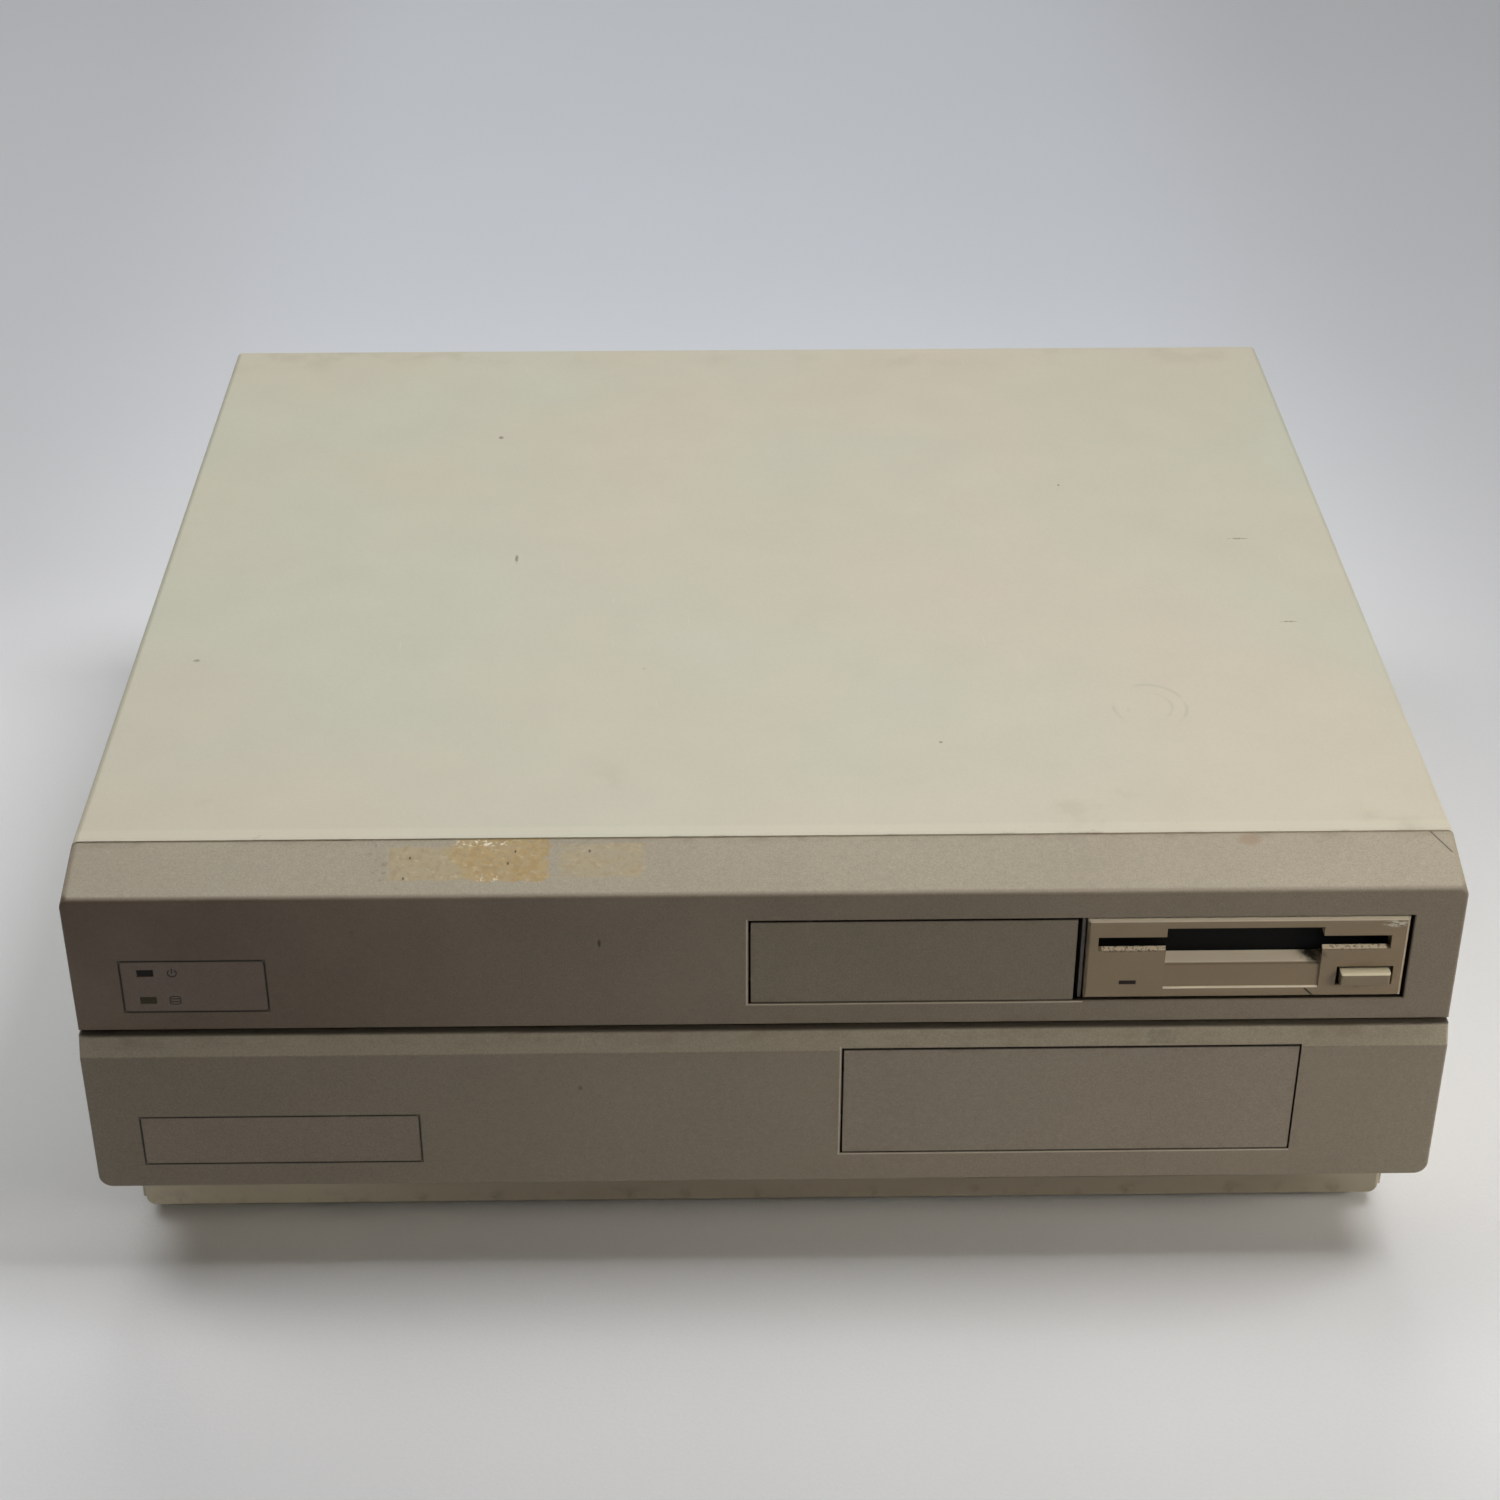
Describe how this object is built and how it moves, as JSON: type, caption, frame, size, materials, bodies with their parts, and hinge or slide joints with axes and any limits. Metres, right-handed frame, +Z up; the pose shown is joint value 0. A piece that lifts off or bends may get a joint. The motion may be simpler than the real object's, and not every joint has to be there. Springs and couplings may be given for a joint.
{
  "type": "desktop computer",
  "caption": "Vintage desktop home computer: steel cover over a two-tier moulded fascia, floppy drive with eject button, drive bays, rear ports and fan-cooled supply on a narrower plinth.",
  "frame": {"origin": "on the table under the middle of the machine's width and depth", "axes": "+X to the right seen from the front, +Y to the back, +Z up"},
  "size_m": [0.44, 0.4056, 0.1542],
  "materials": {
    "top_cover": "satin textured paint, yellowed",
    "front_fascia": "fine grained moulded plastic",
    "small_bay_blank": "fine grained moulded plastic",
    "large_bay_blank": "fine grained moulded plastic",
    "indicator_panel": "smooth moulded plastic",
    "indicator_lights": "milky lens",
    "name_plate": "smooth plate, bare",
    "base_pan": "satin paint",
    "front_shield": "zinc plated",
    "rear_panel": "satin paint",
    "rubber_feet": "matt rubber",
    "outer_screws": "zinc plated",
    "chassis_screws": "zinc plated",
    "main_board": "solder mask",
    "board_standoffs": "turned",
    "chip_sockets": "moulded",
    "main_chips": "moulded epoxy",
    "board_capacitors": "plastic sleeve",
    "expansion_connectors": "moulded",
    "slot_covers": "zinc plated",
    "controller_card": "solder mask",
    "serial_port": "plated shell",
    "parallel_port": "plated shell",
    "drive_port": "plated shell",
    "video_port": "plated shell",
    "audio_jacks": "moulded",
    "port_jackscrews": "plated",
    "keyboard_socket": "moulded",
    "controller_ports": "plated shell",
    "drive_cage": "zinc plated",
    "floppy_frame": "cast",
    "floppy_lid": "zinc plated",
    "floppy_bezel": "moulded",
    "floppy_light": "lens",
    "floppy_board": "solder mask",
    "eject_button": "moulded",
    "dust_flap": "moulded",
    "disk_cradle": "zinc plated",
    "spindle_hub": "turned",
    "stepper_motor": "drawn can",
    "lead_screw": "ground",
    "head_carriage": "moulded",
    "hard_disk_casting": "cast, black",
    "hard_disk_lid": "pressed",
    "hard_disk_platters": "coated, turned hub",
    "head_arm": "milled",
    "supply_case": "zinc plated",
    "supply_lid": "zinc plated",
    "supply_board": "paper laminate",
    "supply_parts": "sleeved and taped",
    "supply_heat_sinks": "extruded",
    "fan_frame": "moulded",
    "fan_rotor": "moulded",
    "fan_guard": "plated wire",
    "mains_inlet": "moulded",
    "switch_frame": "moulded",
    "power_rocker": "moulded",
    "floppy_ribbon": "flat cable",
    "power_loom": "insulated wires",
    "hard_disk_ribbon": "flat cable"
  },
  "bodies": {
    "computer": {"top_cover": "top_cover", "front_fascia": "front_fascia", "small_bay_blank": "small_bay_blank", "large_bay_blank": "large_bay_blank", "indicator_panel": "indicator_panel", "indicator_lights": "indicator_lights", "name_plate": "name_plate", "base_pan": "base_pan", "front_shield": "front_shield", "rear_panel": "rear_panel", "rubber_feet": "rubber_feet", "outer_screws": "outer_screws", "chassis_screws": "chassis_screws", "main_board": "main_board", "board_standoffs": "board_standoffs", "chip_sockets": "chip_sockets", "main_chips": "main_chips", "board_capacitors": "board_capacitors", "expansion_connectors": "expansion_connectors", "slot_covers": "slot_covers", "controller_card": "controller_card", "serial_port": "serial_port", "parallel_port": "parallel_port", "drive_port": "drive_port", "video_port": "video_port", "audio_jacks": "audio_jacks", "port_jackscrews": "port_jackscrews", "keyboard_socket": "keyboard_socket", "controller_ports": "controller_ports", "drive_cage": "drive_cage", "floppy_frame": "floppy_frame", "floppy_lid": "floppy_lid", "floppy_bezel": "floppy_bezel", "floppy_light": "floppy_light", "floppy_board": "floppy_board", "stepper_motor": "stepper_motor", "hard_disk_casting": "hard_disk_casting", "hard_disk_lid": "hard_disk_lid", "supply_case": "supply_case", "supply_lid": "supply_lid", "supply_board": "supply_board", "supply_parts": "supply_parts", "supply_heat_sinks": "supply_heat_sinks", "fan_frame": "fan_frame", "fan_guard": "fan_guard", "mains_inlet": "mains_inlet", "switch_frame": "switch_frame", "floppy_ribbon": "floppy_ribbon", "power_loom": "power_loom", "hard_disk_ribbon": "hard_disk_ribbon"},
    "eject_button": {"eject_button": "eject_button"},
    "dust_flap": {"dust_flap": "dust_flap"},
    "disk_cradle": {"disk_cradle": "disk_cradle"},
    "spindle": {"spindle_hub": "spindle_hub"},
    "lead_screw": {"lead_screw": "lead_screw"},
    "head_carriage": {"head_carriage": "head_carriage"},
    "platters": {"hard_disk_platters": "hard_disk_platters"},
    "head_arm": {"head_arm": "head_arm"},
    "fan_rotor": {"fan_rotor": "fan_rotor"},
    "power_rocker": {"power_rocker": "power_rocker"}
  },
  "joints": [
    {"name": "cradle_lift", "type": "slide", "parent": "computer", "child": "disk_cradle", "axis": [0, 0, 1], "range_m": [0, 0.0025]},
    {"name": "eject_press", "type": "slide", "parent": "computer", "child": "eject_button", "axis": [0, 1, 0], "range_m": [0, 0.0045], "stiffness_N_per_m": 150, "springref_m": -0.002},
    {"name": "flap_swing", "type": "hinge", "parent": "computer", "child": "dust_flap", "pos_m": [0.1513, -0.1929, 0.13515], "axis": [1, 0, 0], "range_deg": [0, 75], "stiffness_Nm_per_rad": 0.002, "springref_deg": -11.46},
    {"name": "spindle_spin", "type": "hinge", "parent": "computer", "child": "spindle", "pos_m": [0.1513, -0.1382, 0.11105], "axis": [0, 0, 1], "continuous": true},
    {"name": "lead_screw_turn", "type": "hinge", "parent": "computer", "child": "lead_screw", "pos_m": [0.1733, -0.0832, 0.11705], "axis": [0, 1, 0], "range_deg": [0, 1800]},
    {"name": "head_slide", "type": "slide", "parent": "computer", "child": "head_carriage", "axis": [0, -1, 0], "range_m": [0, 0.015]},
    {"name": "platter_spin", "type": "hinge", "parent": "computer", "child": "platters", "pos_m": [0.0461, -0.106, 0.11605], "axis": [0, 0, 1], "continuous": true},
    {"name": "head_arm_swing", "type": "hinge", "parent": "computer", "child": "head_arm", "pos_m": [0.0741, -0.054, 0.11605], "axis": [0, 0, -1], "range_deg": [0, 27]},
    {"name": "fan_spin", "type": "hinge", "parent": "computer", "child": "fan_rotor", "pos_m": [0.092, 0.177, 0.0965], "axis": [0, 1, 0], "continuous": true},
    {"name": "rocker_tip", "type": "hinge", "parent": "computer", "child": "power_rocker", "pos_m": [0.168, 0.1912, 0.118], "axis": [1, 0, 0], "range_deg": [0, 22]}
  ],
  "couplings": [
    {"joint": "eject_press", "follows": "cradle_lift", "ratio": 1.8},
    {"joint": "lead_screw_turn", "follows": "head_slide", "rad_per_m": 2094.4}
  ]
}
